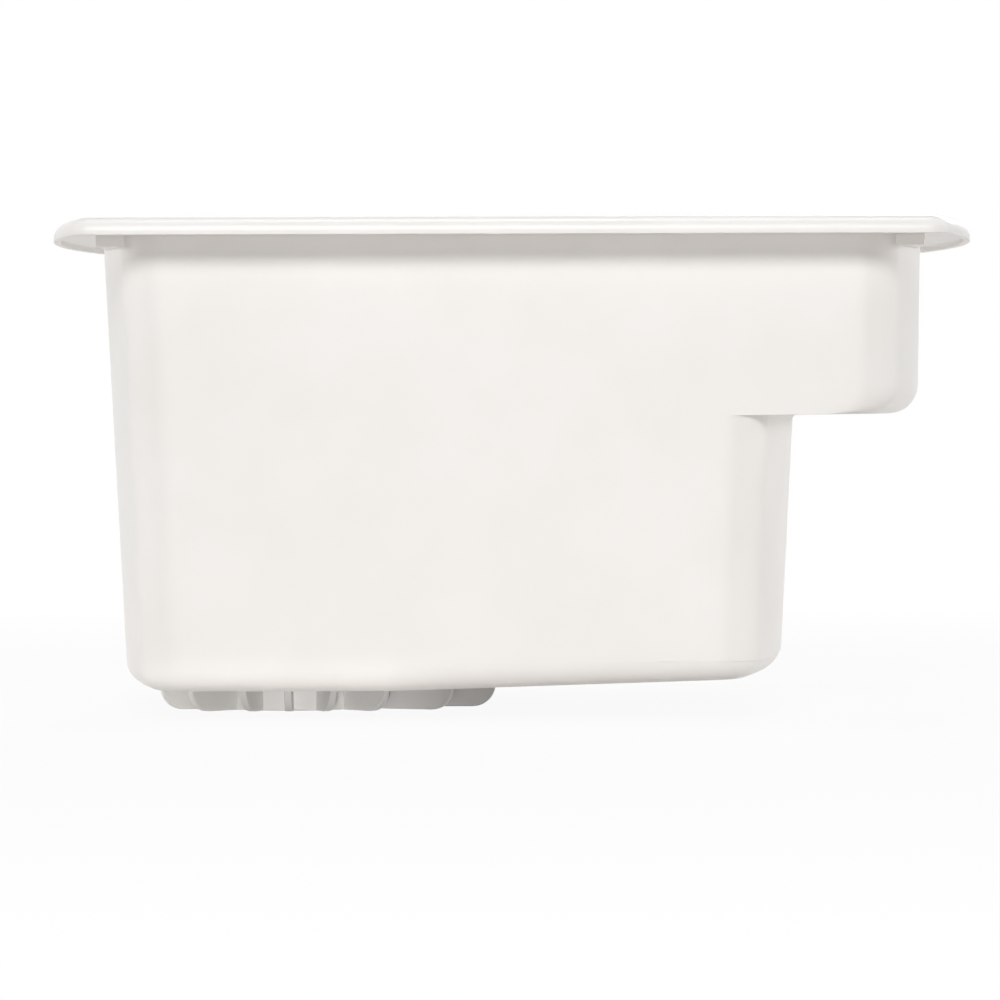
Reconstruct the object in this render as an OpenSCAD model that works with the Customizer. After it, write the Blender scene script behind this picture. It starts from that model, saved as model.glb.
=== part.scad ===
// Drop-in utility sink: a one-piece moulded tub with a faucet deck, an inside shelf at its right end and a
// ribbed drain boss underneath, with its drain and stopper.
// Millimetres. The origin is the middle of the plane that the rim's lip rests on, X runs towards the shelf,
// -Y is the front and Z is up.

/* [Rim and deck] */
// Width of the rim, at the middle of its bowed ends
rim_w = 635; // [560:5:760]
// Depth of the rim, front to back
rim_d = 559; // [500:1:600]
// Height of the deck's top above the counter
rim_rise = 11.6; // [10:0.2:18]
// Thickness of the deck
deck_t = 8; // [6:0.5:9]
// Width of the lip that rests on the counter
lip_w = 5; // [4:0.5:10]
// Radius of the bow of the rim's ends, seen from above
rim_bow_r = 1175; // [700:25:1800]
// Radius of the rim's corners, seen from above
rim_corner_r = 12; // [10:1:40]
// Radius of the rim's top edge
rim_edge_r = 9; // [3:0.5:9]

/* [Tub] */
// Width of the deck between the rim's side edge and the tub's outside
side_deck_w = 33.5; // [30:0.5:60]
// Width of the deck in front of the tub
front_deck_w = 38; // [32:0.5:60]
// Width of the faucet deck behind the tub
faucet_deck_w = 105; // [90:1:130]
// Outside depth of the tub, from the counter down to the floor's underside
tub_depth = 301; // [220:0.5:330]
// Thickness of the walls and floor
wall_t = 5; // [3:0.5:6]
// Draft angle of the walls
draft = 2.95; // [1:0.05:4]
// Radius of the bow of the tub's ends, seen from above
tub_bow_r = 950; // [700:25:1400]
// Radius of the tub's corners, seen from above
tub_corner_r = 29; // [24:1:40]
// Radius from the walls to the floor's underside
floor_fillet_r = 15; // [10:1:20]
// Slope of the floor towards its level part
floor_slope = 1.8; // [0:0.1:3]
// Where the floor's slope starts, to the right of the drain's centre
slope_start = 72; // [60:1:95]
// Radius of the edge where the deck turns down into the tub
tub_edge_r = 4.5; // [2:0.5:5]

/* [Shelf] */
// Depth of the shelf's underside below the counter
shelf_depth = 118.5; // [80:0.5:160]
// Width of the step under the shelf, at the counter's level
shelf_w = 82.4; // [60:0.2:120]
// Radius under the shelf's outer end
shelf_fillet_r = 20; // [10:1:22]
// Radius of the shelf's inner edge
shelf_edge_r = 7; // [3:0.5:9]
// How far the shelf climbs towards its outer end
shelf_rise = 0.8; // [0.2:0.1:3]
// Draft angle of the wall above the shelf
shelf_wall_draft = 1.1; // [0.5:0.1:3]

/* [Corner blocks under the deck] */
// How far the blocks' outer faces lie in from the tub's ends
block_in_x = 10.4; // [8:0.2:16]
// How far the blocks' front and back faces lie in from the tub's front and back
block_in_y = 14; // [10:0.5:20]
// How far the blocks reach below the counter's top
block_drop = 6.2; // [3:0.2:10]

/* [Faucet holes] */
// Distance between neighbouring faucet holes
faucet_pitch = 50.8; // [48:0.1:60]
// Radius of the faucet holes
faucet_hole_r = 16; // [12:0.5:18]
// Number of faucet holes
faucet_holes = 3; // [1:1:4]

/* [Drain boss and ribs] */
// Drain centre, in from the tub's left end
drain_in_x = 130.8; // [116:0.2:146]
// Drain centre, in from the tub's front
drain_in_y = 206; // [190:0.5:225]
// How far the ribs and the hub reach below the floor's underside
rib_h = 20; // [18:0.5:40]
// Number of ribs
rib_count = 16; // [8:2:20]
// Thickness of a rib
rib_t = 5; // [3:0.5:6]
// Reach of the ribs from the drain centre, sideways
rib_reach_x = 141; // [110:1:150]
// Reach of the ribs from the drain centre, front to back
rib_reach_y = 77; // [65:1:95]
// Gap between the left ribs and the turn of the left wall
rib_left_gap = 11.5; // [0:0.5:15]
// Radius of a rib's lower outer corner
rib_corner_r = 16; // [8:1:18]
// Outer radius of the hub
hub_r = 54; // [46:0.5:60]
// Wall of the hub
hub_t = 4.5; // [3:0.5:6]
// Extra thickness of the floor inside the hub
boss_t = 2; // [0:0.5:4]

/* [Drain] */
// Radius of the recess for the drain's flange
recess_r = 41; // [39:0.5:44]
// Depth of that recess
recess_depth = 3; // [2.5:0.5:3]
// Radius of the drain hole through the floor
drain_hole_r = 25.5; // [25:0.5:27]
// Radius of the drain's flange
flange_r = 38; // [35:0.5:38.5]
// Thickness of the drain's flange
flange_t = 2.2; // [1.6:0.2:3]
// Outer radius of the drain's threaded tail
tail_r = 23.8; // [22.5:0.1:24.2]
// Inner radius of the drain's tail
tail_bore_r = 20.5; // [19:0.1:21]
// Inner radius at the top of the drain's cone
mouth_r = 23.3; // [22:0.1:23.5]
// How far the tail ends above the foot of the ribs
tail_up = 1; // [0.5:0.5:3]
// Width of the spider's arms
spider_w = 3; // [2:0.5:5]
// Height of the spider's arms
spider_h = 3; // [2:0.5:4]
// Depth of the spider's top below the flange's top
spider_depth = 15.4; // [14:0.2:18]
// Radius of the boss in the middle of the spider
spider_boss_r = 4.2; // [3.5:0.1:6]

/* [Gaskets and nut] */
// Thickness of the gasket under the flange
flange_gasket_t = 1.4; // [1:0.2:2]
// Thickness of the gasket under the floor
lower_gasket_t = 2; // [1.5:0.25:3]
// Outer radius of the lower gasket and washer
gasket_r = 36; // [33:0.5:40]
// Thickness of the friction washer
washer_t = 1; // [0.6:0.2:1.6]
// Height of the lock nut
nut_h = 7; // [5:0.5:8]
// Radius of the lock nut's body
nut_r = 31; // [29:0.5:34]
// Number of lugs round the lock nut
nut_lugs = 8; // [4:1:12]
// How far the lugs stand out of the nut
lug_out = 4; // [2:0.5:6]
// Width of a lug
lug_w = 7; // [4:0.5:10]
// Radial play of the gaskets, washer and nut on the tail
tail_play = 0.3; // [0.2:0.05:0.5]

/* [Strainer] */
// Thickness of the strainer grid
grid_t = 1.2; // [0.8:0.1:2]
// Radial play of the grid in the drain
grid_play = 0.3; // [0.2:0.05:0.5]
// Radius of the grid's holes
grid_hole_r = 2; // [1.5:0.1:2.2]
// Number of holes in the grid's inner ring; the outer ring has twice as many
grid_holes = 7; // [5:1:8]
// Radius of the screw's shank
screw_r = 2; // [1.5:0.1:2.5]
// Radius of the screw's head
screw_head_r = 3.8; // [3:0.1:4.5]
// Height of the screw's head
screw_head_h = 1.6; // [1.2:0.1:2]
// Width of the cross slot in the screw's head
screw_slot_w = 0.8; // [0.6:0.1:1.2]

/* [Stopper] */
// Gap between the stopper and the drain
stopper_gap = 0.3; // [0.2:0.05:0.5]
// Depth of the stopper's plug below the flange's top
plug_depth = 9; // [6:0.5:10]
// Radius of the stopper's top plate
stopper_r = 27; // [25:0.5:30]
// Thickness of the stopper's top plate
stopper_t = 3; // [2:0.5:5]
// Thickness of the eye that carries the ring
eye_t = 2.4; // [2:0.2:3]
// Radius of the hole in the eye
eye_hole_r = 2.4; // [2:0.1:3]
// Wall of the eye round its hole
eye_wall = 1.8; // [1.4:0.1:2.5]
// Radius of the eye's foot
eye_foot_r = 6; // [5:0.5:8]
// Thickness of the eye's foot
eye_foot_t = 1; // [0.8:0.1:1.5]
// Radius of the pull ring, to the middle of its wire
ring_r = 11; // [9:0.5:14]
// Radius of the pull ring's wire
wire_r = 1.2; // [0.9:0.1:1.4]
// Gap between the ring and the lowest point of the eye's hole
ring_gap = 0.3; // [0.2:0.05:0.4]

/* [Hidden] */
$fn = 64;
corner_steps = 5;
bow_steps = 8;
fillet_steps = 5;
edge_steps = 4;

// Heights
deck_z = rim_rise;
deck_under_z = deck_z - deck_t;
floor_z = -tub_depth;
floor_in_z = floor_z + wall_t;
shelf_z = -shelf_depth;
foot_z = floor_z - rib_h;
recess_z = floor_in_z - recess_depth;
boss_z = floor_z - boss_t;
flange_z = recess_z + flange_gasket_t;
flange_top_z = flange_z + flange_t;
tail_z = foot_z + tail_up;
washer_z = boss_z - lower_gasket_t;
nut_z = washer_z - washer_t;
spider_z = flange_top_z - spider_depth;
plate_z = flange_top_z + stopper_gap;
stopper_top_z = plate_z + stopper_t;
eye_z = stopper_top_z + eye_foot_t + eye_hole_r + eye_wall;
pivot_z = eye_z - eye_hole_r + wire_r + ring_gap;

// The tub's outside at the counter's level
tub_x = rim_w / 2 - side_deck_w;
tub_front_y = -rim_d / 2 + front_deck_w;
tub_back_y = rim_d / 2 - faucet_deck_w;
step_x = tub_x - shelf_w;
faucet_y = rim_d / 2 - faucet_deck_w / 2;
drain_x = -tub_x + drain_in_x;
drain_y = tub_front_y + drain_in_y;
slope_start_x = drain_x + slope_start;

// How far beyond the middle the bows' centres lie: of the rim's ends, the tub's ends and the step's wall
rim_bow_x = rim_bow_r - rim_w / 2;
tub_bow_x = tub_bow_r - tub_x;
step_bow_x = tub_bow_r - step_x;

// One end of an outline, from front to back: a corner, the bowed stretch and a corner.
// x is the end's reach at Y = 0. The bows of one wall's outlines have the same centre, bow_x.
function end_points(x, front, back, r, bow_x) =
    let (bow_r = x + bow_x,
         reach_f = sqrt(pow(bow_r - r, 2) - pow(front + r, 2)),
         reach_b = sqrt(pow(bow_r - r, 2) - pow(back - r, 2)),
         turn_f = atan2(front + r, reach_f),
         turn_b = atan2(back - r, reach_b))
    concat(
        [for (i = [0:corner_steps])
            let (a = -90 + (90 + turn_f) * i / corner_steps)
            [reach_f - bow_x + r * cos(a), front + r + r * sin(a)]],
        [for (i = [1:bow_steps - 1])
            let (a = turn_f + (turn_b - turn_f) * i / bow_steps)
            [bow_r * cos(a) - bow_x, bow_r * sin(a)]],
        [for (i = [0:corner_steps])
            let (a = turn_b + (90 - turn_b) * i / corner_steps)
            [reach_b - bow_x + r * cos(a), back - r + r * sin(a)]]);

// A closed outline, counterclockwise from the point on its front edge where the floor's slope starts
function outline(left, right, front, back, r, left_bow_x, right_bow_x) =
    let (right_end = end_points(right, front, back, r, right_bow_x),
         left_end = end_points(-left, front, back, r, left_bow_x),
         n = len(left_end))
    concat(
        [[slope_start_x, front]],
        right_end,
        [[slope_start_x, back]],
        [for (i = [n - 1:-1:0]) [-left_end[i].x, left_end[i].y]]);

// The rim's outline, and the tub's at the counter's level, moved in by the same amount on all sides
function rim_outline(inset) =
    outline(-rim_w / 2 + inset, rim_w / 2 - inset, -rim_d / 2 + inset, rim_d / 2 - inset,
            max(rim_corner_r - inset, 1), rim_bow_x, rim_bow_x);

function tub_outline(inset) =
    outline(-tub_x + inset, tub_x - inset, tub_front_y + inset, tub_back_y - inset,
            tub_corner_r - inset, tub_bow_x, tub_bow_x);

// How far a drafted wall has moved in at a height
function drafted(z, angle) = -z * tan(angle);

// How far a round of radius r, below a wall that starts at inset `from`, has moved in at an angle
function rounded(from, r, angle) = from + r / cos(draft) - r * cos(angle);

// One ring of the tub, counted as a wall `inset` further in than the drafted outside
function tub_ring(z, inset, right, right_bow_x, lifted) =
    let (in = drafted(min(z, 0), draft) + inset,
         r = max(tub_corner_r - inset, 1.5))
    [z, lifted, outline(-tub_x + in, right, tub_front_y + in, tub_back_y - in, r, tub_bow_x, right_bow_x)];

// The rings from the floor up to the deck, for the outside (t = 0) and the inside (t = wall_t).
// floor_r, end_r and edge_r are the radii at the floor, at the shelf's outer end and at its inner edge.
function tub_rings(t, floor_r, end_r, edge_r) =
    let (low = floor_z + t,
         shelf = shelf_z + t,
         floor_round = [for (i = [0:fillet_steps]) 90 - (90 - draft) * i / fillet_steps],
         end_round = [for (i = [0:fillet_steps]) 90 - (90 - shelf_wall_draft) * i / fillet_steps],
         edge_round = [for (i = [0:edge_steps]) 90 * i / edge_steps])
    concat(
        [for (a = floor_round)
            let (z = low + floor_r * (1 - sin(a)),
                 wall = t + drafted(low + floor_r, draft) - drafted(z, draft),
                 in = rounded(wall, floor_r, a))
            tub_ring(z, in, step_x - drafted(z, draft) - in, step_bow_x, 1)],
        [for (a = edge_round)
            let (z = shelf - edge_r * (1 - sin(a)))
            tub_ring(z, t, step_x - t - drafted(z, draft) + edge_r * (1 - cos(a)), step_bow_x, 0)],
        [for (a = end_round)
            let (z = shelf + shelf_rise + end_r * (1 - sin(a)),
                 wall = t + drafted(shelf + end_r, shelf_wall_draft))
            tub_ring(z, t, tub_x - rounded(wall, end_r, a), tub_bow_x, 0)]);

// How far the sloping floor has risen at x
function lift(x) = max(x - slope_start_x, 0) * tan(floor_slope);

// Skins a stack of rings, listed from the lowest up. The bottom and the top are two flat faces each, which
// meet where the floor's slope starts.
module skin(rings) {
    n = len(rings[0][2]);
    half = n / 2;
    top = len(rings) - 1;
    points = [for (ring = rings) for (p = ring[2]) [p.x, p.y, ring[0] + ring[1] * lift(p.x)]];
    sides = [for (k = [0:top - 1]) for (i = [0:n - 1])
        let (j = (i + 1) % n, a = k * n, b = (k + 1) * n)
        for (face = [[a + i, b + i, b + j], [a + i, b + j, a + j]]) face];
    polyhedron(
        points,
        concat(
            [[for (i = [0:half]) i], [for (i = [half:n]) i % n]],
            sides,
            [[for (i = [half:-1:0]) top * n + i], [for (i = [n:-1:half]) top * n + i % n]]));
}

module at_drain(z = 0) {
    translate([drain_x, drain_y, z]) children();
}

// A ring with a square section that stands at z
module washer(z, height, outer, inner) {
    translate([0, 0, z])
        rotate_extrude()
            translate([inner, 0]) square([outer - inner, height]);
}

// The rim: its outer edge turns down over a lip, and its underside is open up to the deck
module rim() {
    edge = [for (i = [0:edge_steps]) 90 * i / edge_steps];
    difference() {
        skin(concat(
            [[0, 0, rim_outline(0)]],
            [for (a = edge)
                [deck_z - rim_edge_r * (1 - sin(a)), 0, rim_outline(rim_edge_r * (1 - cos(a)))]]));
        translate([0, 0, -1])
            linear_extrude(deck_under_z + 1)
                polygon(rim_outline(lip_w));
    }
}

// The outside, with straight sides from the counter's level up to a height
module tub_outside(top_z) {
    skin(concat(
        tub_rings(0, floor_fillet_r, shelf_fillet_r, max(shelf_edge_r - wall_t, 1)),
        [[0, 0, tub_outline(0)], [top_z, 0, tub_outline(0)]]));
}

// The inside, with the rounded edge at the deck. It reaches above the deck.
module tub_inside() {
    edge = [for (i = [0:edge_steps]) 90 * i / edge_steps];
    edge_r = min(tub_edge_r, wall_t - 0.5);
    skin(concat(
        tub_rings(wall_t, floor_fillet_r - wall_t, shelf_fillet_r - wall_t, shelf_edge_r),
        [for (a = edge)
            [deck_z - edge_r * (1 - sin(a)), 0, tub_outline(wall_t - edge_r * (1 - cos(a)))]],
        [[deck_z + 1, 0, tub_outline(wall_t - edge_r)]]));
}

// A straight-sided block under the deck. Only its corners stand out of the bowed tub, as four corner blocks.
module corner_blocks() {
    width = 2 * (tub_x - block_in_x);
    depth = tub_back_y - tub_front_y - 2 * block_in_y;
    translate([-width / 2, tub_front_y + block_in_y, -block_drop])
        cube([width, depth, block_drop + deck_under_z + deck_t / 2]);
}

// A rib's reach: an ellipse round the drain, cut short at the turn of the left wall
left_turn_x = -tub_x + drafted(floor_z + floor_fillet_r, draft) + floor_fillet_r;
left_room = drain_x - left_turn_x - rib_left_gap;
function rib_reach(a) =
    let (ellipse = rib_reach_x * rib_reach_y
            / sqrt(pow(rib_reach_y * cos(a), 2) + pow(rib_reach_x * sin(a), 2)),
         left = cos(a) < -0.01 ? left_room / -cos(a) : ellipse)
    min(ellipse, left);

// One rib, from inside the hub's wall out to its reach, let into the floor by root
module rib(reach) {
    root = wall_t * 0.7;
    start = hub_r - hub_t / 2;
    translate([0, rib_t / 2, 0])
        rotate([90, 0, 0])
            linear_extrude(rib_t)
                union() {
                    translate([start, foot_z]) square([reach - rib_corner_r - start, rib_h + root]);
                    translate([start, foot_z + rib_corner_r])
                        square([reach - start, rib_h + root - rib_corner_r]);
                    translate([reach - rib_corner_r, foot_z + rib_corner_r]) circle(rib_corner_r);
                }
}

// The tub, the rim with its deck, and the ribbed hub are one moulding. They meet face to face: the rim at the
// tub's outside, and the hub at the floor's underside.
module tub() {
    color("#fbfaf8")
        difference() {
            tub_outside(deck_z);
            tub_inside();
            at_drain(recess_z) cylinder(h = recess_depth + 1, r = recess_r);
            at_drain(floor_z - 1) cylinder(h = wall_t + 1, r = drain_hole_r);
        }
}

module rim_deck() {
    color("#fbfaf8")
        difference() {
            union() {
                rim();
                corner_blocks();
            }
            tub_outside(deck_z + 1);
            tub_inside();
            for (i = [0:faucet_holes - 1])
                translate([(i - (faucet_holes - 1) / 2) * faucet_pitch, faucet_y, deck_under_z - 1])
                    cylinder(h = deck_t + 2, r = faucet_hole_r);
        }
}

module ribbed_hub() {
    color("#fbfaf8")
        difference() {
            at_drain() {
                washer(foot_z, rib_h + wall_t / 2, hub_r, hub_r - hub_t);
                washer(boss_z, boss_t + wall_t / 2, hub_r - hub_t / 2, drain_hole_r);
                for (i = [0:rib_count - 1]) {
                    angle = 360 * i / rib_count;
                    rotate([0, 0, angle]) rib(rib_reach(angle));
                }
            }
            tub_outside(deck_z);
        }
}

// The cone's inner radius at a height
cone_h = spider_depth - grid_t;
function cone_r(z) = tail_bore_r + (mouth_r - tail_bore_r) * (z - spider_z - grid_t) / cone_h;

// The drain: a flange in the floor's recess, a cone, and a tail that is threaded outside.
// A spider across the tail carries the grid.
module drain_body() {
    color("#c9cbcc")
        at_drain() {
            rotate_extrude()
                polygon([[tail_bore_r, tail_z], [tail_r, tail_z], [tail_r, flange_z], [flange_r, flange_z],
                         [flange_r, flange_top_z - flange_t / 2], [flange_r - flange_t, flange_top_z],
                         [mouth_r, flange_top_z], [tail_bore_r, spider_z + grid_t]]);
            spider();
        }
}

module spider() {
    arm = tail_bore_r + (tail_r - tail_bore_r) / 2;
    translate([0, 0, spider_z - spider_h])
        difference() {
            union() {
                for (a = [0, 90])
                    rotate([0, 0, a])
                        translate([-arm, -spider_w / 2, 0]) cube([2 * arm, spider_w, spider_h]);
                cylinder(h = spider_h, r = spider_boss_r);
            }
            translate([0, 0, -1]) cylinder(h = spider_h + 2, r = screw_r);
        }
}

module flange_gasket() {
    color("#2b2b2c")
        at_drain() washer(recess_z, flange_gasket_t, flange_r - 1, drain_hole_r);
}

module lower_gasket() {
    color("#2b2b2c")
        at_drain() washer(washer_z, lower_gasket_t, gasket_r, tail_r + tail_play);
}

module friction_washer() {
    color("#b8a98a")
        at_drain() washer(nut_z, washer_t, gasket_r, tail_r + tail_play);
}

module lock_nut() {
    lug_root = (nut_r - tail_r) / 2;
    color("#c9cbcc")
        at_drain(nut_z - nut_h)
            difference() {
                union() {
                    cylinder(h = nut_h, r = nut_r);
                    for (i = [0:nut_lugs - 1])
                        rotate([0, 0, 360 * i / nut_lugs])
                            translate([nut_r - lug_root, -lug_w / 2, 0])
                                cube([lug_root + lug_out, lug_w, nut_h]);
                }
                translate([0, 0, -1]) cylinder(h = nut_h + 2, r = tail_r + tail_play);
            }
}

// Two rings of holes between the screw and the edge
module strainer_grid() {
    grid_r = tail_bore_r - grid_play;
    web = (grid_r - screw_head_r - 4 * grid_hole_r) / 3;
    color("#c9cbcc")
        at_drain(spider_z)
            difference() {
                cylinder(h = grid_t, r = grid_r);
                translate([0, 0, -1]) cylinder(h = grid_t + 2, r = screw_r + grid_play);
                for (row = [1, 2])
                    for (i = [0:grid_holes * row - 1])
                        rotate([0, 0, 360 * (i + 0.5) / (grid_holes * row)])
                            translate([screw_head_r + row * (web + 2 * grid_hole_r) - grid_hole_r, 0, -1])
                                cylinder(h = grid_t + 2, r = grid_hole_r);
            }
}

module grid_screw() {
    slot = screw_head_r * 1.3;
    color("#c9cbcc")
        at_drain() {
            translate([0, 0, spider_z - spider_h])
                cylinder(h = spider_h + grid_t, r = screw_r);
            translate([0, 0, spider_z + grid_t])
                difference() {
                    cylinder(h = screw_head_h, r = screw_head_r);
                    for (a = [45, 135])
                        rotate([0, 0, a])
                            translate([-slot / 2, -screw_slot_w / 2, screw_head_h / 2])
                                cube([slot, screw_slot_w, screw_head_h]);
                }
        }
}

// The stopper: a tapered plug under a round plate
module stopper() {
    plug_z = flange_top_z - plug_depth;
    color("#2b2b2c")
        at_drain()
            rotate_extrude()
                polygon([[0, plug_z], [cone_r(plug_z) - stopper_gap, plug_z],
                         [mouth_r - stopper_gap, flange_top_z], [mouth_r - stopper_gap, plate_z],
                         [stopper_r, plate_z], [stopper_r, plate_z + stopper_t / 3],
                         [stopper_r - stopper_t * 2 / 3, stopper_top_z], [0, stopper_top_z]]);
}

module stopper_eye() {
    outer = eye_hole_r + eye_wall;
    color("#c9cbcc")
        at_drain() {
            translate([0, 0, stopper_top_z]) cylinder(h = eye_foot_t, r = eye_foot_r);
            difference() {
                union() {
                    translate([0, eye_t / 2, eye_z]) rotate([90, 0, 0]) cylinder(h = eye_t, r = outer);
                    translate([-outer, -eye_t / 2, stopper_top_z])
                        cube([2 * outer, eye_t, eye_z - stopper_top_z]);
                }
                translate([0, eye_t, eye_z]) rotate([90, 0, 0]) cylinder(h = 2 * eye_t, r = eye_hole_r);
            }
        }
}

// The ring lies to the right, through the eye, with its far side just above the plate
ring_lie = asin((pivot_z - wire_r - stopper_gap - stopper_top_z) / (2 * ring_r));
module pull_ring() {
    color("#c9cbcc")
        at_drain(pivot_z)
            rotate([0, ring_lie, 0]) translate([ring_r, 0, 0])
                rotate_extrude()
                    translate([ring_r, 0]) circle(wire_r);
}

tub();
rim_deck();
ribbed_hub();
drain_body();
flange_gasket();
lower_gasket();
friction_washer();
lock_nut();
strainer_grid();
grid_screw();
stopper();
stopper_eye();
pull_ring();
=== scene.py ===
import math

import bmesh
import bpy
from mathutils import Matrix, Vector


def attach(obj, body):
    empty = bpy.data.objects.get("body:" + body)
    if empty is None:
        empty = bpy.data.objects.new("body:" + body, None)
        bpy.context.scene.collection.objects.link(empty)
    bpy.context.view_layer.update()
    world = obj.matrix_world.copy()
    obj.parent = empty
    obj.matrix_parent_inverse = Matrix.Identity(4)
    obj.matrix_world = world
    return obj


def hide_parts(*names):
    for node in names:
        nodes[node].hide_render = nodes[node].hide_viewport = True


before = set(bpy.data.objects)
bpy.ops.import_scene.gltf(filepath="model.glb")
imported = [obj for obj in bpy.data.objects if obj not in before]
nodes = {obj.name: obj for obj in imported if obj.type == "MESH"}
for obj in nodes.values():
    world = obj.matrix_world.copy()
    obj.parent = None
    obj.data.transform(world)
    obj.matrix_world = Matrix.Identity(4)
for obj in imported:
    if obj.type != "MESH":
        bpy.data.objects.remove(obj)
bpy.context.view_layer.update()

mm = 0.001
scene = bpy.context.scene
print("frame loaded:", len(nodes), "parts")


# Small helpers

def linearColour(hexCode):
    values = [int(hexCode[i:i + 2], 16) / 255 for i in (1, 3, 5)]
    return [v / 12.92 if v <= 0.04045 else ((v + 0.055) / 1.055) ** 2.4 for v in values] + [1.0]


def addNode(tree, kind, settings=None, sockets=None, links=None):
    node = tree.nodes.new(kind)
    for name, value in (settings or {}).items():
        setattr(node, name, value)
    for name, value in (sockets or {}).items():
        node.inputs[name].default_value = value
    for name, source in (links or {}).items():
        tree.links.new(source, node.inputs[name])
    return node


def newMaterial(name):
    material = bpy.data.materials.new(name)
    material.use_nodes = True
    material.node_tree.nodes.clear()
    return material, material.node_tree


def finishMaterial(tree, shader):
    addNode(tree, "ShaderNodeOutputMaterial", links={"Surface": shader.outputs[0]})


def meshPiece(name, bm, material, sharpAngle=35):
    mesh = bpy.data.meshes.new(name)
    for edge in bm.edges:
        edge.smooth = len(edge.link_faces) != 2 or edge.calc_face_angle(0) < math.radians(sharpAngle)
    for face in bm.faces:
        face.smooth = True
    bm.to_mesh(mesh)
    bm.free()
    piece = bpy.data.objects.new(name, mesh)
    scene.collection.objects.link(piece)
    mesh.materials.append(material)
    return piece


# Materials

# Injection-moulded polypropylene, white: a soft gloss with the faint orange peel of the mould
def mouldedPolypropylene():
    finish = {"colour": "#f5f3f1", "shade": "#f2f0ed", "cloudSize": 90, "peelSize": 2.2,
              "roughness": 0.36, "roughnessSpread": 0.05}
    material, tree = newMaterial("whiteMouldedPolypropylene")
    place = addNode(tree, "ShaderNodeTexCoord")
    clouds = addNode(tree, "ShaderNodeTexNoise",
                     sockets={"Scale": 1 / (finish["cloudSize"] * mm), "Detail": 2.0},
                     links={"Vector": place.outputs["Object"]})
    colour = addNode(tree, "ShaderNodeValToRGB", links={"Fac": clouds.outputs["Fac"]})
    colour.color_ramp.elements[0].position = 0.35
    colour.color_ramp.elements[0].color = linearColour(finish["shade"])
    colour.color_ramp.elements[1].position = 0.6
    colour.color_ramp.elements[1].color = linearColour(finish["colour"])
    peel = addNode(tree, "ShaderNodeTexNoise",
                   sockets={"Scale": 1 / (finish["peelSize"] * mm), "Detail": 3.0},
                   links={"Vector": place.outputs["Object"]})
    gloss = addNode(tree, "ShaderNodeMapRange",
                    sockets={"To Min": finish["roughness"] - finish["roughnessSpread"],
                             "To Max": finish["roughness"] + finish["roughnessSpread"]},
                    links={"Value": clouds.outputs["Fac"]})
    bump = addNode(tree, "ShaderNodeBump", sockets={"Strength": 0.05, "Distance": 0.2 * mm},
                   links={"Height": peel.outputs["Fac"]})
    shader = addNode(tree, "ShaderNodeBsdfPrincipled", sockets={"IOR": 1.49},
                     links={"Base Color": colour.outputs["Color"], "Roughness": gloss.outputs["Result"],
                            "Normal": bump.outputs["Normal"]})
    finishMaterial(tree, shader)
    return material


# Bright metal, chrome plated or brushed: reflections as sharp as its finish, with faint wipe marks
def brightMetal(name, roughness):
    finish = {"colour": "#d3d5d6", "markSize": 6, "markRoughness": 0.1}
    material, tree = newMaterial(name)
    place = addNode(tree, "ShaderNodeTexCoord")
    marks = addNode(tree, "ShaderNodeTexNoise",
                    sockets={"Scale": 1 / (finish["markSize"] * mm), "Detail": 4.0},
                    links={"Vector": place.outputs["Object"]})
    gloss = addNode(tree, "ShaderNodeMapRange",
                    sockets={"To Min": roughness, "To Max": roughness + finish["markRoughness"]},
                    links={"Value": marks.outputs["Fac"]})
    shader = addNode(tree, "ShaderNodeBsdfPrincipled",
                     sockets={"Base Color": linearColour(finish["colour"]), "Metallic": 1.0},
                     links={"Roughness": gloss.outputs["Result"]})
    finishMaterial(tree, shader)
    return material


# Moulded rubber: dull and near black, with a fine grain and a trace of bloom
def mouldedRubber(name, hexCode):
    finish = {"bloom": "#47484a", "bloomSize": 9, "grainSize": 0.6, "roughness": 0.62}
    material, tree = newMaterial(name)
    place = addNode(tree, "ShaderNodeTexCoord")
    bloom = addNode(tree, "ShaderNodeTexNoise",
                    sockets={"Scale": 1 / (finish["bloomSize"] * mm), "Detail": 4.0},
                    links={"Vector": place.outputs["Object"]})
    colour = addNode(tree, "ShaderNodeMix", settings={"data_type": "RGBA"},
                     sockets={"A": linearColour(hexCode), "B": linearColour(finish["bloom"])},
                     links={"Factor": bloom.outputs["Fac"]})
    grain = addNode(tree, "ShaderNodeTexNoise", sockets={"Scale": 1 / (finish["grainSize"] * mm)},
                    links={"Vector": place.outputs["Object"]})
    bump = addNode(tree, "ShaderNodeBump", sockets={"Strength": 0.2, "Distance": 0.05 * mm},
                   links={"Height": grain.outputs["Fac"]})
    shader = addNode(tree, "ShaderNodeBsdfPrincipled",
                     sockets={"Roughness": finish["roughness"], "IOR": 1.52},
                     links={"Base Color": colour.outputs["Result"], "Normal": bump.outputs["Normal"]})
    finishMaterial(tree, shader)
    return material


# Pressed vulcanised fibre: a dull tan board with fine flecks
def pressedFibre():
    finish = {"colour": "#b09c77", "fleck": "#cbb994", "fleckSize": 1.2, "roughness": 0.8}
    material, tree = newMaterial("pressedFibre")
    place = addNode(tree, "ShaderNodeTexCoord")
    flecks = addNode(tree, "ShaderNodeTexNoise",
                     sockets={"Scale": 1 / (finish["fleckSize"] * mm), "Detail": 6.0},
                     links={"Vector": place.outputs["Object"]})
    colour = addNode(tree, "ShaderNodeMix", settings={"data_type": "RGBA"},
                     sockets={"A": linearColour(finish["colour"]), "B": linearColour(finish["fleck"])},
                     links={"Factor": flecks.outputs["Fac"]})
    shader = addNode(tree, "ShaderNodeBsdfPrincipled", sockets={"Roughness": finish["roughness"]},
                     links={"Base Color": colour.outputs["Result"]})
    finishMaterial(tree, shader)
    return material


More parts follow.
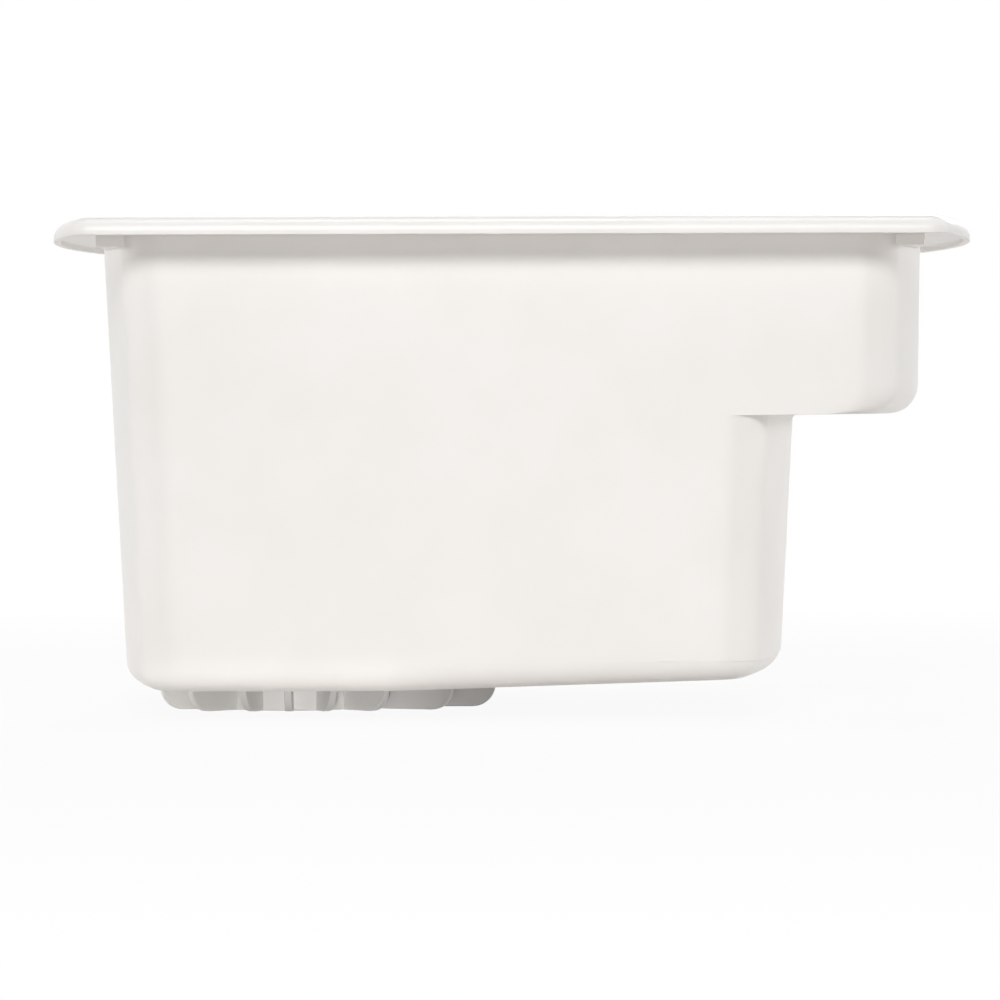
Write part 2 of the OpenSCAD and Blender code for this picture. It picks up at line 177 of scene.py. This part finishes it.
whitePlastic = mouldedPolypropylene()
chrome = brightMetal("polishedChrome", 0.08)
brushedSteel = brightMetal("brushedSteel", 0.28)
plugRubber = mouldedRubber("plugRubber", "#262728")
gasketRubber = mouldedRubber("gasketRubber", "#1e1f20")
fibre = pressedFibre()
print("materials ready")


# The tub, in millimetres: a chain of outlines, each drawn out of the one before

tub = {
    "rimWidth": 635, "rimDepth": 559, "rimCorner": 12, "rimEdge": 9, "lipWidth": 5, "rimBow": 1175,
    "deckTop": 11.6, "deckThickness": 8, "sideDeck": 33.5, "frontDeck": 38, "faucetDeck": 105,
    "depth": 301, "wall": 5, "draft": 2.95, "tubBow": 950, "corner": 29, "floorRound": 15,
    "mouthRound": 4.5, "underRound": 2, "floorSlope": 1.8, "slopeStart": -81.2,
    "shelfDepth": 118.5, "shelfWidth": 82.4, "shelfRise": 0.8, "shelfDraft": 1.1,
    "shelfEndRound": 20, "shelfEdgeRound": 7, "stepEdgeRound": 3,
    "blockInX": 10.4, "blockInY": 14, "blockDrop": 6.2, "blockSkin": 2, "blockRound": 1,
    "drainX": -153.2, "drainY": -35.5, "drainHole": 25.5, "recess": 41, "recessDepth": 3,
    "hub": 54, "hubWall": 4.5, "boss": 2,
    "ribs": 16, "ribHeight": 20, "ribThickness": 5, "ribReachX": 141, "ribReachY": 77, "ribGap": 11.5,
    "ribCorner": 16, "ribRound": 0.8, "ribFlare": 3, "ribTaper": 0.012, "ribInHub": 2.2, "ribInFloor": 3.4,
    "faucetHole": 16, "faucetPitch": 50.8, "faucetRound": 1.2, "faucetFlat": 2,
    "straightSteps": 18, "cornerSteps": 10, "bowSteps": 24, "roundSteps": 9, "holeSteps": 64,
}
deckUnder = tub["deckTop"] - tub["deckThickness"]
floorZ = -tub["depth"]
footZ = floorZ - tub["ribHeight"]
tubX = tub["rimWidth"] / 2 - tub["sideDeck"]
frontY = -tub["rimDepth"] / 2 + tub["frontDeck"]
backY = tub["rimDepth"] / 2 - tub["faucetDeck"]
faucetY = tub["rimDepth"] / 2 - tub["faucetDeck"] / 2
stepX = tubX - tub["shelfWidth"]
rimBowX = tub["rimBow"] - tub["rimWidth"] / 2
tubBowX = tub["tubBow"] - tubX
stepBowX = tub["tubBow"] - stepX


# How far a drafted wall has moved in at a height below the rim
def drafted(z, angle=None):
    return -min(z, 0) * math.tan(math.radians(angle or tub["draft"]))


# How far the floor has risen towards the right end
def lift(x):
    return max(x - tub["slopeStart"], 0) * math.tan(math.radians(tub["floorSlope"]))


# Even steps of a turn in degrees, both ends included
def turns(start, end, steps):
    return [math.radians(start + (end - start) * i / steps) for i in range(steps + 1)]


# One bowed end of an outline, from front to back. A wall's bows share a centre, so they run parallel.
def bowedEnd(reach, front, back, corner, bowX):
    bow = reach + bowX
    frontX = math.sqrt((bow - corner) ** 2 - (front + corner) ** 2)
    backX = math.sqrt((bow - corner) ** 2 - (back - corner) ** 2)
    frontTurn = math.degrees(math.atan2(front + corner, frontX))
    backTurn = math.degrees(math.atan2(back - corner, backX))
    points = [(frontX - bowX + corner * math.cos(a), front + corner + corner * math.sin(a))
              for a in turns(-90, frontTurn, tub["cornerSteps"])]
    points += [(bow * math.cos(a) - bowX, bow * math.sin(a))
               for a in turns(frontTurn, backTurn, tub["bowSteps"])[1:-1]]
    points += [(backX - bowX + corner * math.cos(a), back - corner + corner * math.sin(a))
               for a in turns(backTurn, 90, tub["cornerSteps"])]
    return points


# A straight edge between two corners, with a point close to each corner to keep the long face flat
def straightEdge(start, end):
    steps = tub["straightSteps"]
    shares = [0.006] + [i / steps for i in range(1, steps)] + [0.994]
    return [(start[0] + (end[0] - start[0]) * s, start[1] + (end[1] - start[1]) * s) for s in shares]


def outline(left, right, front, back, corner, leftBowX, rightBowX):
    rightEnd = bowedEnd(right, front, back, corner, rightBowX)
    leftEnd = [(-x, y) for x, y in reversed(bowedEnd(-left, front, back, corner, leftBowX))]
    backEdge = straightEdge(rightEnd[-1], leftEnd[0])
    frontEdge = straightEdge(leftEnd[-1], rightEnd[0])
    return rightEnd + backEdge + leftEnd + frontEdge


def atHeight(points, z, lifted=False):
    return [Vector((x, y, z + (lift(x) if lifted else 0))) for x, y in points]


# The rim's outline, moved in by an inset
def rimRing(inset, z):
    right, back = tub["rimWidth"] / 2 - inset, tub["rimDepth"] / 2 - inset
    corner = max(tub["rimCorner"] - inset, 1)
    return atHeight(outline(-right, right, -back, back, corner, rimBowX, rimBowX), z)


# The tub at its top: out is how far the ring stands off the wall's outside
def mouthRing(out, z):
    return atHeight(outline(-tubX - out, tubX + out, frontY - out, backY + out, tub["corner"] + out,
                            tubBowX, tubBowX), z)


# The tub's outline at a height, with its own right end: the step's below the shelf, the tub's above it
def tubRing(z, inset, right, rightBowX, lifted=False):
    moved = drafted(z) + inset
    return atHeight(outline(-tubX + moved, right, frontY + moved, backY - moved,
                            max(tub["corner"] - inset, 1.5), tubBowX, rightBowX), z, lifted)


# The tub's outside (wall 0) or inside: a chain of rings from the floor's flat up to the deck
def tubRings(wall, floorRound, endRound, edgeRound):
    rings = []
    low, shelf = floorZ + wall, -tub["shelfDepth"] + wall
    steps, beside = tub["roundSteps"], 5  # a ring beside each round keeps the flat's shading even
    slant = math.cos(math.radians(tub["draft"]))
    for a in turns(90, tub["draft"], steps):
        z = low + floorRound * (1 - math.sin(a))
        inset = wall + drafted(low + floorRound) - drafted(z) + floorRound / slant - floorRound * math.cos(a)
        rings.append(tubRing(z, inset, stepX - drafted(z) - inset, stepBowX, True))
    z = low + floorRound + beside
    rings.append(tubRing(z, wall, stepX - wall - drafted(z), stepBowX))
    z = shelf - edgeRound - beside
    rings.append(tubRing(z, wall, stepX - wall - drafted(z), stepBowX))
    for a in turns(0, 90, steps):
        z = shelf - edgeRound * (1 - math.sin(a))
        rings.append(tubRing(z, wall, stepX - wall - drafted(z) + edgeRound * (1 - math.cos(a)), stepBowX))
    endSlant = math.cos(math.radians(tub["shelfDraft"]))
    moved = wall + drafted(shelf + endRound, tub["shelfDraft"]) + endRound / endSlant
    rings.append(tubRing(shelf + 0.1, wall, stepX - wall - drafted(shelf) + edgeRound + 3, stepBowX))
    rings.append(tubRing(shelf + tub["shelfRise"] - 0.1, wall, tubX - moved - 3, tubBowX))
    for a in turns(90, tub["shelfDraft"], steps):
        z = shelf + tub["shelfRise"] + endRound * (1 - math.sin(a))
        rings.append(tubRing(z, wall, tubX - moved + endRound * math.cos(a), tubBowX))
    z = shelf + tub["shelfRise"] + endRound + beside
    rings.append(tubRing(z, wall, tubX - wall - drafted(z, tub["shelfDraft"]), tubBowX))
    return rings


# A round hole or boss: its points face the same way as the tub's, so the floor's faces fan out to them
fanAngles = [math.atan2(y - tub["drainY"], x - tub["drainX"])
             for x, y in outline(-tubX, stepX, frontY, backY, tub["corner"], tubBowX, stepBowX)]


def drainRing(radius, z):
    return [Vector((tub["drainX"] + radius * math.cos(a), tub["drainY"] + radius * math.sin(a), z))
            for a in fanAngles]


def floorRings(inner, outer, floor):
    rings = []
    for share in (0.04, 0.2, 0.4, 0.6, 0.8, 0.96):  # the first and last keep the flat's shading even
        ring = [a.lerp(b, share) for a, b in zip(inner, outer)]
        rings.append([Vector((p.x, p.y, floor + lift(p.x))) for p in ring])
    return rings


# The hub's profile, from the drain hole out to the floor's underside
def hubRings():
    hub, inside = tub["hub"], tub["hub"] - tub["hubWall"]
    bossZ = floorZ - tub["boss"]
    profile = [(tub["drainHole"], bossZ + 0.5), (tub["drainHole"] + 0.5, bossZ), (inside - 2, bossZ),
               (inside - 0.6, bossZ - 0.6), (inside, bossZ - 2), (inside, footZ + 1),
               (inside + 0.3, footZ + 0.3), (inside + 1, footZ), (hub - 1, footZ),
               (hub - 0.3, footZ + 0.3), (hub, footZ + 1), (hub, floorZ - 2.5),
               (hub + 0.7, floorZ - 0.7), (hub + 2.5, floorZ)]
    return [drainRing(r, z) for r, z in profile]


# The drain's recess in the bowl, from the floor down into the drain hole
def recessRings():
    recess, bottom = tub["recess"], floorZ + tub["wall"] - tub["recessDepth"]
    floor = floorZ + tub["wall"]
    profile = [(recess + 1.2, floor), (recess + 0.35, floor - 0.35), (recess, floor - 1.2),
               (recess, bottom + 0.6), (recess - 0.6, bottom), (tub["drainHole"] + 0.5, bottom),
               (tub["drainHole"], bottom - 0.5), (tub["drainHole"], floorZ - tub["boss"] + 0.5)]
    return [drainRing(r, z) for r, z in profile]


# The rim, from the tub's outside round the lip and over the deck to the bowl's mouth
def rimRings():
    lip, under = tub["lipWidth"], tub["underRound"]
    draftEnd = -12  # the last ring on the drafted wall
    rings = [mouthRing(-drafted(draftEnd), draftEnd), mouthRing(0, 0)]
    for a in turns(0, 90, 4):
        rings.append(mouthRing(under * (1 - math.cos(a)), deckUnder - under * (1 - math.sin(a))))
    rings += [rimRing(lip + 1.5, deckUnder), rimRing(lip + 0.4, deckUnder - 0.4),
              rimRing(lip, deckUnder - 1.5), rimRing(lip, 0.6), rimRing(lip - 0.2, 0.2),
              rimRing(lip - 0.6, 0), rimRing(0.6, 0), rimRing(0.2, 0.2), rimRing(0, 0.6)]
    top, edge, mouth = tub["deckTop"], tub["rimEdge"], tub["mouthRound"]
    for a in turns(0, 90, tub["roundSteps"]):
        rings.append(rimRing(edge * (1 - math.cos(a)), top - edge * (1 - math.sin(a))))
    rings += [rimRing(edge + 2, top), mouthRing(mouth + 2 - tub["wall"], top)]
    for a in turns(90, 0, tub["roundSteps"]):
        rings.append(mouthRing(mouth * (1 - math.cos(a)) - tub["wall"], top - mouth * (1 - math.sin(a))))
    return rings


# Draws a chain of rings out of the first and closes it on itself
def drawOut(bm, rings):
    verts = bmesh.ops.create_circle(bm, cap_ends=False, segments=len(rings[0]))["verts"]
    edges = list(bm.edges)
    for vert, point in zip(verts, rings[0]):
        vert.co = point * mm
    for ring in rings[1:] + rings[:1]:
        grown = bmesh.ops.extrude_edge_only(bm, edges=edges)["geom"]
        fresh = {g for g in grown if isinstance(g, bmesh.types.BMVert)}
        verts = [next(e.other_vert(v) for e in v.link_edges if e.other_vert(v) in fresh)
                 for v in verts]
        edges = [g for g in grown if isinstance(g, bmesh.types.BMEdge)
                 and g.verts[0] in fresh and g.verts[1] in fresh]
        for vert, point in zip(verts, ring):
            vert.co = point * mm
    bmesh.ops.remove_doubles(bm, verts=bm.verts, dist=1e-7)
    bmesh.ops.recalc_face_normals(bm, faces=bm.faces)


# Puts a finished shell in with the others and lets go of its bmesh
def addShell(bm, shell):
    mesh = bpy.data.meshes.new("shell")
    shell.to_mesh(mesh)
    shell.free()
    bm.from_mesh(mesh)
    bpy.data.meshes.remove(mesh)


# A block under one corner of the deck. Its plan runs inside the tub's wall, then round its own square corner.
def addCornerBlock(bm, sideX, sideY):
    skin, drop = tub["blockSkin"], tub["blockDrop"]
    near, far = (frontY, backY) if sideY < 0 else (-backY, -frontY)
    blockX, blockY = tubX - tub["blockInX"], near + tub["blockInY"]
    bow, corner = tub["tubBow"] - skin, tub["corner"] - skin
    inside = [p for p in bowedEnd(tubX - skin, near + skin, far - skin, corner, tubBowX)
              if blockY < p[1] < 0 and p[0] < blockX]
    cornerY = near + tub["corner"]
    cornerX = math.sqrt((bow - corner) ** 2 - cornerY ** 2) - tubBowX
    startX = cornerX + math.sqrt(corner ** 2 - (blockY - cornerY) ** 2)
    endY = -math.sqrt(bow ** 2 - (blockX + tubBowX) ** 2)
    plan = [(startX, blockY)] + inside + [(blockX, endY), (blockX, blockY)]
    block = bmesh.new()
    face = block.faces.new([block.verts.new((sideX * x, -sideY * y, -drop)) for x, y in plan])
    grown = bmesh.ops.extrude_face_region(block, geom=[face])["geom"]
    bmesh.ops.translate(block, vec=(0, 0, drop + deckUnder + 1),
                        verts=[g for g in grown if isinstance(g, bmesh.types.BMVert)])

    def along(edge, axis, value):
        return all(abs(abs(v.co[axis]) - abs(value)) < 0.01 for v in edge.verts)

    sides = [e for e in block.edges if along(e, 0, blockX) or along(e, 1, blockY)]
    outer = [e for e in sides if along(e, 2, drop) or (along(e, 0, blockX) and along(e, 1, blockY))]
    bmesh.ops.bevel(block, geom=outer, offset=tub["blockRound"], offset_type="OFFSET", segments=4,
                    profile=0.5, affect="EDGES", material=-1)
    bmesh.ops.scale(block, vec=(mm, mm, mm), verts=block.verts)
    bmesh.ops.recalc_face_normals(block, faces=block.faces)
    addShell(bm, block)


# How far a rib runs out: to an oval, and on the left no farther than the floor's round
def ribReach(angle):
    x, y = math.cos(angle), math.sin(angle)
    reach = tub["ribReachX"] * tub["ribReachY"] / math.hypot(tub["ribReachY"] * x, tub["ribReachX"] * y)
    turnX = -tubX + drafted(floorZ + tub["floorRound"]) + tub["floorRound"]
    room = tub["drainX"] - turnX - tub["ribGap"]
    return min(reach, room / -x) if x < -0.01 else reach


# One rib: a plate with a round lower corner, tapered, and flared where it meets the floor
def addRib(bm, angle):
    reach, start, root = ribReach(angle), tub["hub"] - tub["ribInHub"], floorZ + tub["ribInFloor"]
    rib = bmesh.new()
    bmesh.ops.create_cube(rib, size=1)
    bmesh.ops.scale(rib, vec=(reach - start, tub["ribThickness"], root - footZ), verts=rib.verts)
    bmesh.ops.translate(rib, vec=((reach + start) / 2, 0, (root + footZ) / 2), verts=rib.verts)
    corner = [e for e in rib.edges if all(v.co.x > reach - 0.1 and v.co.z < footZ + 0.1 for v in e.verts)]
    bmesh.ops.bevel(rib, geom=corner, offset=tub["ribCorner"], offset_type="OFFSET", segments=10,
                    profile=0.5, affect="EDGES", material=-1)
    rims = [e for e in rib.edges if e.calc_face_angle(0) > 1 and max(v.co.z for v in e.verts) < root - 0.1
            or abs(e.verts[0].co.z - e.verts[1].co.z) > 5]
    bmesh.ops.bevel(rib, geom=rims, offset=tub["ribRound"], offset_type="OFFSET", segments=3, profile=0.5,
                    affect="EDGES", material=-1)
    flare = tub["ribFlare"]
    for depth in (flare, 1.9, 1.1, 0.5, 0.15, 0):
        bmesh.ops.bisect_plane(rib, geom=rib.verts[:] + rib.edges[:] + rib.faces[:], dist=1e-5,
                               plane_co=(0, 0, floorZ - depth), plane_no=(0, 0, 1))
    for vert in rib.verts:
        depth = min(max(floorZ - vert.co.z, 0), flare)
        out = flare - math.sqrt(flare ** 2 - (flare - depth) ** 2)
        if abs(vert.co.y) > 0.5:
            vert.co.y += math.copysign(out - (floorZ - vert.co.z) * tub["ribTaper"], vert.co.y)
        if vert.co.x > reach - 1.5:
            vert.co.x += out
    bmesh.ops.rotate(rib, cent=(0, 0, 0), matrix=Matrix.Rotation(angle, 3, "Z"), verts=rib.verts)
    for vert in rib.verts:
        vert.co += Vector((tub["drainX"], tub["drainY"], 0))
        if vert.co.z > floorZ - flare - 0.1:
            vert.co.z += lift(vert.co.x)
        vert.co *= mm
    bmesh.ops.recalc_face_normals(rib, faces=rib.faces)
    addShell(bm, rib)


# One faucet hole's wall, soft at both ends. The narrow flat round it keeps the deck's shading even.
def addHoleWall(bm, x):
    hole, soft, top = tub["faucetHole"], tub["faucetRound"], tub["deckTop"]
    quarter = turns(0, 90, 4)
    profile = [(hole + soft + tub["faucetFlat"], deckUnder)]
    profile += [(hole + soft * (1 - math.sin(a)), deckUnder + soft * (1 - math.cos(a))) for a in quarter]
    profile += [(hole + soft * (1 - math.cos(a)), top - soft * (1 - math.sin(a))) for a in quarter]
    profile.append((hole + soft + tub["faucetFlat"], top))
    wall = bmesh.new()
    verts = [wall.verts.new(Vector((x + r, faucetY, z)) * mm) for r, z in profile]
    edges = [wall.edges.new(pair) for pair in zip(verts, verts[1:])]
    bmesh.ops.spin(wall, geom=verts + edges, cent=Vector((x, faucetY, 0)) * mm, axis=(0, 0, 1),
                   dvec=(0, 0, 0), angle=math.tau, steps=tub["holeSteps"], use_merge=True)
    bmesh.ops.remove_doubles(wall, verts=wall.verts, dist=1e-7)
    addShell(bm, wall)


# Opens the deck's two flats behind the bowl, draws the holes' walls and fills the flats up to them
def addFaucetHoles(bm):
    openX, openY = 90, 20  # from the middle hole, out to past the outer two
    levels = (deckUnder, tub["deckTop"])
    for level in levels:
        middle = Vector((0, faucetY, level)) * mm
        opened = []
        for face in bm.faces:
            away = face.calc_center_median() - middle
            flat = all(abs(v.co.z - middle.z) < 1e-6 for v in face.verts)
            if flat and abs(away.x) < openX * mm and abs(away.y) < openY * mm:
                opened.append(face)
        bmesh.ops.delete(bm, geom=opened, context="FACES")
    for i in (-1, 0, 1):
        addHoleWall(bm, i * tub["faucetPitch"])
    for level in levels:
        rims = [e for e in bm.edges if e.is_boundary and abs(e.verts[0].co.z - level * mm) < 1e-6]
        bmesh.ops.triangle_fill(bm, edges=rims, use_beauty=True, normal=(0, 0, 1))
    bmesh.ops.recalc_face_normals(bm, faces=bm.faces)


# Hub, floor, outside, rim, inside and recess are one skin. The ribs and blocks run into it.
def makeBasin():
    wall = tub["wall"]
    outside = tubRings(0, tub["floorRound"], tub["shelfEndRound"], tub["stepEdgeRound"])
    inside = tubRings(wall, tub["floorRound"] - wall, tub["shelfEndRound"] - wall, tub["shelfEdgeRound"])
    hub, recess = hubRings(), recessRings()
    rings = hub + floorRings(hub[-1], outside[0], floorZ) + outside + rimRings()
    rings += list(reversed(inside)) + list(reversed(floorRings(recess[0], inside[0], floorZ + wall)))
    rings += recess[:-1]
    bm = bmesh.new()
    drawOut(bm, rings)
    addFaucetHoles(bm)
    for i in range(tub["ribs"]):
        addRib(bm, math.tau * i / tub["ribs"])
    for sideX in (-1, 1):
        for sideY in (-1, 1):
            addCornerBlock(bm, sideX, sideY)
    basin = meshPiece("tubMoulding", bm, whitePlastic)
    flat = basin.modifiers.new("flat faces", "WEIGHTED_NORMAL")
    flat.keep_sharp = True
    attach(basin, "sink")
    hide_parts("tub", "rim_deck", "ribbed_hub")
    print("tub:", len(basin.data.polygons), "faces")


makeBasin()


# The metal, rubber and fibre pieces keep their solids
finishes = {
    "drain_body": chrome, "strainer_grid": brushedSteel, "grid_screw": brushedSteel, "lock_nut": brushedSteel,
    "flange_gasket": gasketRubber, "lower_gasket": gasketRubber, "friction_washer": fibre,
    "stopper": plugRubber, "stopper_eye": chrome, "pull_ring": chrome,
}
for name, material in finishes.items():
    nodes[name].data.materials.clear()
    nodes[name].data.materials.append(material)
print("drain and stopper dressed")


# Stage, light and camera

stage = {"floorSize": 16, "floorZ": footZ * mm, "floorPaint": "#e2ddd8", "floorGlow": 0.93,
         "fadeFrom": 0.5, "fadeTo": 1.8, "worldLight": 0.25}

# The key stands about 25 degrees up, so the rim throws its soft shadow on the tub. Gridded boxes keep their
# light on the sink. The strip near the floor reaches in to the ribs. The side boxes leave no streak.
softboxes = {
    "key": {"place": (-0.45, -6.3, 2.75), "aim": (0, 0, -0.1), "size": (1.7, 1.7),
            "power": 8.5, "spread": 30},
    "front": {"place": (0, -6.5, -0.13), "aim": (0, 0, -0.13), "size": (3.0, 0.36),
              "power": 40, "spread": 180},
    "strip": {"place": (-0.26, -1.9, -0.298), "aim": (-0.26, -0.1, -0.322), "size": (0.4, 0.02),
              "power": 0.02, "spread": 3},
    "left": {"place": (-4.5, 1.2, 0.25), "aim": (0, 0, -0.12), "size": (1.6, 1.0),
             "power": 4.5, "spread": 40, "glossy": False},
    "right": {"place": (4.5, 1.2, 0.25), "aim": (0, 0, -0.12), "size": (1.6, 1.0),
              "power": 4.5, "spread": 40, "glossy": False},
    "back": {"place": (0.9, 5.5, 1.3), "aim": (0, 0, -0.12), "size": (1.6, 1.2),
             "power": 2.2, "spread": 16},
    "top": {"place": (0, 0.2, 3.2), "aim": (0, 0.02, 0), "size": (1.2, 1.2),
            "power": 1.0, "spread": 20},
}


# One for the rays that see the white studio itself, none for those that light the object
def whenSeen(tree):
    path = addNode(tree, "ShaderNodeLightPath")
    direct = addNode(tree, "ShaderNodeMath", settings={"operation": "MAXIMUM"},
                     links={0: path.outputs["Is Camera Ray"], 1: path.outputs["Is Glossy Ray"]})
    return addNode(tree, "ShaderNodeMath", settings={"operation": "MAXIMUM"},
                   links={0: direct.outputs[0], 1: path.outputs["Is Transmission Ray"]})


# Pale paint that keeps the sink's shadow. Seen from the camera it glows, and fades to white with distance.
def makeFloor():
    material, tree = newMaterial("paleFloor")
    seen = whenSeen(tree)
    paint = addNode(tree, "ShaderNodeBsdfDiffuse", sockets={"Color": linearColour(stage["floorPaint"])})
    glow = addNode(tree, "ShaderNodeEmission", sockets={"Strength": 1.0})
    place = addNode(tree, "ShaderNodeTexCoord")
    away = addNode(tree, "ShaderNodeVectorMath", settings={"operation": "LENGTH"},
                   links={"Vector": place.outputs["Object"]})
    fade = addNode(tree, "ShaderNodeMapRange",
                   sockets={"From Min": stage["fadeFrom"], "From Max": stage["fadeTo"],
                            "To Min": stage["floorGlow"], "To Max": 1.0},
                   links={"Value": away.outputs["Value"]})
    share = addNode(tree, "ShaderNodeMath", settings={"operation": "MULTIPLY"},
                    links={0: seen.outputs[0], 1: fade.outputs["Result"]})
    mixed = addNode(tree, "ShaderNodeMixShader",
                    links={0: share.outputs[0], 1: paint.outputs[0], 2: glow.outputs[0]})
    finishMaterial(tree, mixed)
    bm = bmesh.new()
    bmesh.ops.create_grid(bm, x_segments=1, y_segments=1, size=stage["floorSize"] / 2)
    bmesh.ops.translate(bm, vec=(0, 0, stage["floorZ"]), verts=bm.verts)
    meshPiece("floor", bm, material)


def makeWorld():
    world = bpy.data.worlds.new("studio")
    scene.world = world
    world.use_nodes = True
    tree = world.node_tree
    tree.nodes.clear()
    seen = whenSeen(tree)
    level = addNode(tree, "ShaderNodeMapRange", sockets={"To Min": stage["worldLight"], "To Max": 1.0},
                    links={"Value": seen.outputs[0]})
    light = addNode(tree, "ShaderNodeBackground", sockets={"Color": (1, 1, 1, 1)},
                    links={"Strength": level.outputs[0]})
    addNode(tree, "ShaderNodeOutputWorld", links={"Surface": light.outputs[0]})


# An area lamp that lights the sink and isn't seen itself
def addSoftbox(name, place, aim, size, power, spread, glossy=True):
    data = bpy.data.lights.new(name, "AREA")
    data.shape, data.energy, data.spread = "RECTANGLE", power, math.radians(spread)
    data.size, data.size_y = size
    lamp = bpy.data.objects.new(name, data)
    scene.collection.objects.link(lamp)
    lamp.location = place
    lamp.rotation_euler = (Vector(aim) - Vector(place)).to_track_quat("-Z", "Y").to_euler()
    lamp.visible_camera = False
    lamp.visible_glossy = glossy


# The photograph's view, found from the rim's front edge and the vanishing point of its ends
view = {"distance": 3.5, "side": 0.033, "height": -0.1094, "pitch": 1.042, "yaw": 0.642, "roll": 0.14,
        "lens": 193.65}


def makeCamera():
    data = bpy.data.cameras.new("camera")
    data.lens, data.sensor_width = view["lens"], 36
    data.clip_start, data.clip_end = 0.05, 60
    camera = bpy.data.objects.new("camera", data)
    scene.collection.objects.link(camera)
    turn = (Matrix.Rotation(math.radians(view["yaw"]), 4, "Z")
            @ Matrix.Rotation(math.radians(90 - view["pitch"]), 4, "X")
            @ Matrix.Rotation(math.radians(-view["roll"]), 4, "Z"))
    place = Vector((view["side"], -tub["rimDepth"] / 2 * mm - view["distance"], view["height"]))
    camera.matrix_world = Matrix.Translation(place) @ turn
    scene.camera = camera


makeFloor()
makeWorld()
for name, settings in softboxes.items():
    addSoftbox(name, **settings)
makeCamera()
scene.view_settings.view_transform = "Standard"
print("stage, light and camera ready")
